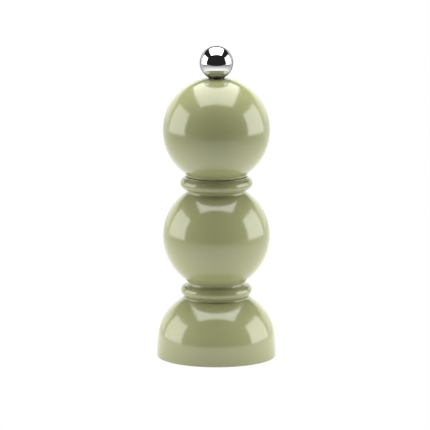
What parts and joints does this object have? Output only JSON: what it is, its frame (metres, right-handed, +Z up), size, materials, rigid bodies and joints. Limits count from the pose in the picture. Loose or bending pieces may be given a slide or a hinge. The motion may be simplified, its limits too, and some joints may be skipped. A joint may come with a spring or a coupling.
{
  "type": "pepper mill",
  "caption": "Turned and lacquered pepper mill of stacked balls on a domed base, with a chromed ball knob that sets the grind and a ceramic burr in the base.",
  "frame": {"origin": "middle of the base's underside, on the mill's axis", "axes": "+Z up along the mill's axis from the base to the knob; +X and +Y lie in the resting face, with the retaining strap along X"},
  "size_m": [0.0682, 0.0682, 0.18],
  "materials": {
    "lacquer": "sage green high-gloss lacquer over turned wood",
    "chrome": "polished chrome plate",
    "steel": "drawn and rolled stainless steel",
    "spring_steel": "bright spring steel",
    "brass": "turned brass",
    "burr_ceramic": "unglazed sintered ceramic",
    "black_nylon": "moulded black nylon",
    "white_nylon": "natural white nylon",
    "brown_fibre": "brown vulcanised fibre sheet"
  },
  "bodies": {
    "mill_body": {"body_shell": "lacquer", "stator_housing": "black_nylon", "stator_ring": "burr_ceramic", "stator_retainer": "spring_steel", "housing_screws": "steel", "retaining_strap": "steel", "strap_screws": "steel", "spring_bridge": "steel", "bridge_bush": "brass", "bridge_screws": "steel", "spring": "spring_steel", "neck_liner": "white_nylon"},
    "spindle_carrier": {"thrust_washer": "white_nylon"},
    "spindle_group": {"spindle": "steel", "rotor": "burr_ceramic", "rotor_seat": "steel", "feed_cone": "black_nylon", "spindle_clip": "spring_steel"},
    "neck_slip": {"neck_washer": "brown_fibre"},
    "head": {"head_shell": "lacquer", "drive_plate": "steel", "drive_plate_screws": "steel"},
    "knob_slip": {"knob_washer": "brown_fibre"},
    "knob_group": {"knob": "chrome", "knob_insert": "brass"}
  },
  "joints": [
    {"name": "head_turn", "type": "hinge", "parent": "mill_body", "child": "neck_slip", "pos_m": [0, 0, 0.105], "axis": [0, 0, 1], "continuous": true},
    {"name": "head_lift", "type": "slide", "parent": "neck_slip", "child": "head", "axis": [0, 0, 1], "range_m": [0, 0.085]},
    {"name": "knob_turn", "type": "hinge", "parent": "head", "child": "knob_slip", "pos_m": [0, 0, 0.1617], "axis": [0, 0, 1], "range_deg": [-720, 0]},
    {"name": "knob_lift", "type": "slide", "parent": "knob_slip", "child": "knob_group", "axis": [0, 0, 1], "range_m": [0, 0.015]},
    {"name": "grind_adjust", "type": "slide", "parent": "mill_body", "child": "spindle_carrier", "axis": [0, 0, 1], "range_m": [0, 0.0016], "deforming": ["spring"]},
    {"name": "spindle_turn", "type": "hinge", "parent": "spindle_carrier", "child": "spindle_group", "pos_m": [0, 0, 0.022], "axis": [0, 0, 1], "continuous": true}
  ],
  "couplings": [
    {"joint": "spindle_turn", "follows": "head_turn", "ratio": 1},
    {"joint": "knob_turn", "follows": "grind_adjust", "rad_per_m": -7854}
  ]
}
